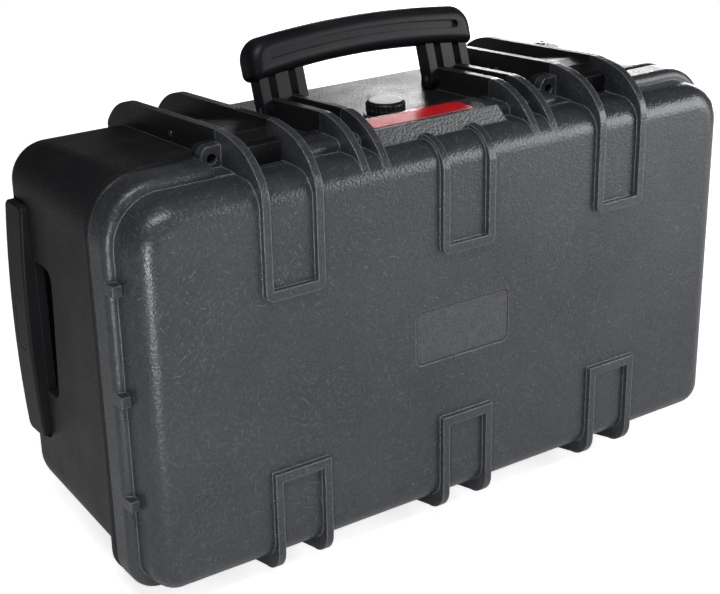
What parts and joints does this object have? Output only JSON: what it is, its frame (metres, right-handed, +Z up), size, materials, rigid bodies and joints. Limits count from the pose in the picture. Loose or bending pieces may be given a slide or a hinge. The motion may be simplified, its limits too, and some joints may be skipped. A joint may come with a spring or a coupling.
{
  "type": "rolling camera case",
  "caption": "Hard-shell wheeled camera case with hinged lid, draw latches, folding carry handle, telescopic pull handle and padded dividers.",
  "frame": {"origin": "centre of the case's outer box, on the surface that it stands on when the carry handle is up", "axes": "+X along the long side towards the wheels, +Y from the lid to the base's back, +Z up towards the carry handle"},
  "size_m": [0.5569, 0.234, 0.3796],
  "materials": {
    "case_plastic": "pebble-textured moulded polypropylene",
    "latch_plastic": "fine-grained moulded nylon",
    "handle_core": "smooth satin nylon",
    "grip_plastic": "soft-touch satin overmould",
    "valve_plastic": "satin moulded plastic",
    "guide_plastic": "plain moulded acetal",
    "tube_aluminium": "satin anodised, fine lengthwise grain",
    "bright_steel": "plated, bright",
    "pin_steel": "drawn stainless wire",
    "screw_steel": "black-coated steel",
    "seal_rubber": "closed-cell rubber, dull",
    "wheel_tyre": "moulded rubber tread, dull",
    "lid_foam": "open-cell foam, dark grey",
    "divider_padding": "brushed fabric over padding",
    "red_plate": "glossy, bare"
  },
  "bodies": {
    "base": {"base_shell": "case_plastic", "back_cover": "case_plastic", "cover_screws": "screw_steel", "tube_guides": "guide_plastic", "trolley_outer_tubes": "tube_aluminium", "trolley_end_blocks": "guide_plastic", "hinge_pins": "pin_steel", "latch_pivot_pins": "pin_steel", "handle_pivot_pins": "pin_steel", "valve_seat": "valve_plastic", "valve_ring": "seal_rubber", "base_liner": "divider_padding", "long_divider": "divider_padding", "short_dividers": "divider_padding", "wheel_housing_upper": "case_plastic", "wheel_housing_lower": "case_plastic", "wheel_axle_upper": "bright_steel", "wheel_axle_lower": "bright_steel", "wheel_nuts": "bright_steel", "wheel_spacers": "bright_steel", "housing_screws": "screw_steel"},
    "lid": {"lid_shell": "case_plastic", "lid_gasket": "seal_rubber", "lid_foam": "lid_foam", "nameplate": "red_plate"},
    "left_latch": {"latch_lever_left": "latch_plastic", "latch_link_pin_left": "pin_steel"},
    "right_latch": {"latch_lever_right": "latch_plastic", "latch_link_pin_right": "pin_steel"},
    "left_claw": {"latch_claw_left": "latch_plastic"},
    "right_claw": {"latch_claw_right": "latch_plastic"},
    "carry_handle": {"handle_frame": "handle_core", "handle_grip": "grip_plastic"},
    "valve": {"valve_knob": "valve_plastic"},
    "trolley_middle": {"trolley_middle_tubes": "tube_aluminium", "middle_tube_collars": "guide_plastic"},
    "trolley_grip": {"trolley_inner_tubes": "tube_aluminium", "pull_grip_shell": "grip_plastic", "pull_grip_cover": "grip_plastic", "pull_grip_screws": "screw_steel"},
    "release_button": {"pull_button": "grip_plastic", "release_rods": "pin_steel"},
    "upper_wheel": {"wheel_hub_upper": "guide_plastic", "wheel_tyre_upper": "wheel_tyre", "wheel_bearings_upper": "bright_steel"},
    "lower_wheel": {"wheel_hub_lower": "guide_plastic", "wheel_tyre_lower": "wheel_tyre", "wheel_bearings_lower": "bright_steel"}
  },
  "joints": [
    {"name": "lid_hinge", "type": "hinge", "parent": "base", "child": "lid", "pos_m": [0, -0.0562, 0.0055], "axis": [1, 0, 0], "range_deg": [0, 100]},
    {"name": "left_latch_pivot", "type": "hinge", "parent": "base", "child": "left_latch", "pos_m": [-0.152, 0.0108, 0.3185], "axis": [-1, 0, 0], "range_deg": [0, 100]},
    {"name": "right_latch_pivot", "type": "hinge", "parent": "base", "child": "right_latch", "pos_m": [0.152, 0.0108, 0.3185], "axis": [-1, 0, 0], "range_deg": [0, 100]},
    {"name": "left_claw_pivot", "type": "hinge", "parent": "left_latch", "child": "left_claw", "pos_m": [-0.152, -0.0389, 0.3255], "axis": [-1, 0, 0], "range_deg": [-36, 0]},
    {"name": "right_claw_pivot", "type": "hinge", "parent": "right_latch", "child": "right_claw", "pos_m": [0.152, -0.0389, 0.3255], "axis": [-1, 0, 0], "range_deg": [-36, 0]},
    {"name": "carry_handle_pivot", "type": "hinge", "parent": "base", "child": "carry_handle", "pos_m": [0, 0.0135, 0.3215], "axis": [-1, 0, 0], "range_deg": [-17.6, 58]},
    {"name": "valve_knob_turn", "type": "hinge", "parent": "base", "child": "valve", "pos_m": [-0.014, -0.0305, 0.32], "axis": [0, 0, -1], "range_deg": [0, 180]},
    {"name": "middle_tube_slide", "type": "slide", "parent": "base", "child": "trolley_middle", "axis": [-1, 0, 0], "range_m": [0, 0.32]},
    {"name": "grip_slide", "type": "slide", "parent": "trolley_middle", "child": "trolley_grip", "axis": [-1, 0, 0], "range_m": [0, 0.32]},
    {"name": "release_button_press", "type": "slide", "parent": "trolley_grip", "child": "release_button", "axis": [1, 0, 0], "range_m": [0, 0.004], "stiffness_N_per_m": 400},
    {"name": "upper_wheel_spin", "type": "hinge", "parent": "base", "child": "upper_wheel", "pos_m": [0.239, 0.082, 0.279], "axis": [0, 0, 1], "continuous": true},
    {"name": "lower_wheel_spin", "type": "hinge", "parent": "base", "child": "lower_wheel", "pos_m": [0.239, 0.082, 0.051], "axis": [0, 0, 1], "continuous": true}
  ],
  "couplings": [
    {"joint": "left_claw_pivot", "follows": "left_latch_pivot", "ratio": -0.35},
    {"joint": "right_claw_pivot", "follows": "right_latch_pivot", "ratio": -0.35},
    {"joint": "middle_tube_slide", "follows": "grip_slide", "ratio": 1}
  ]
}
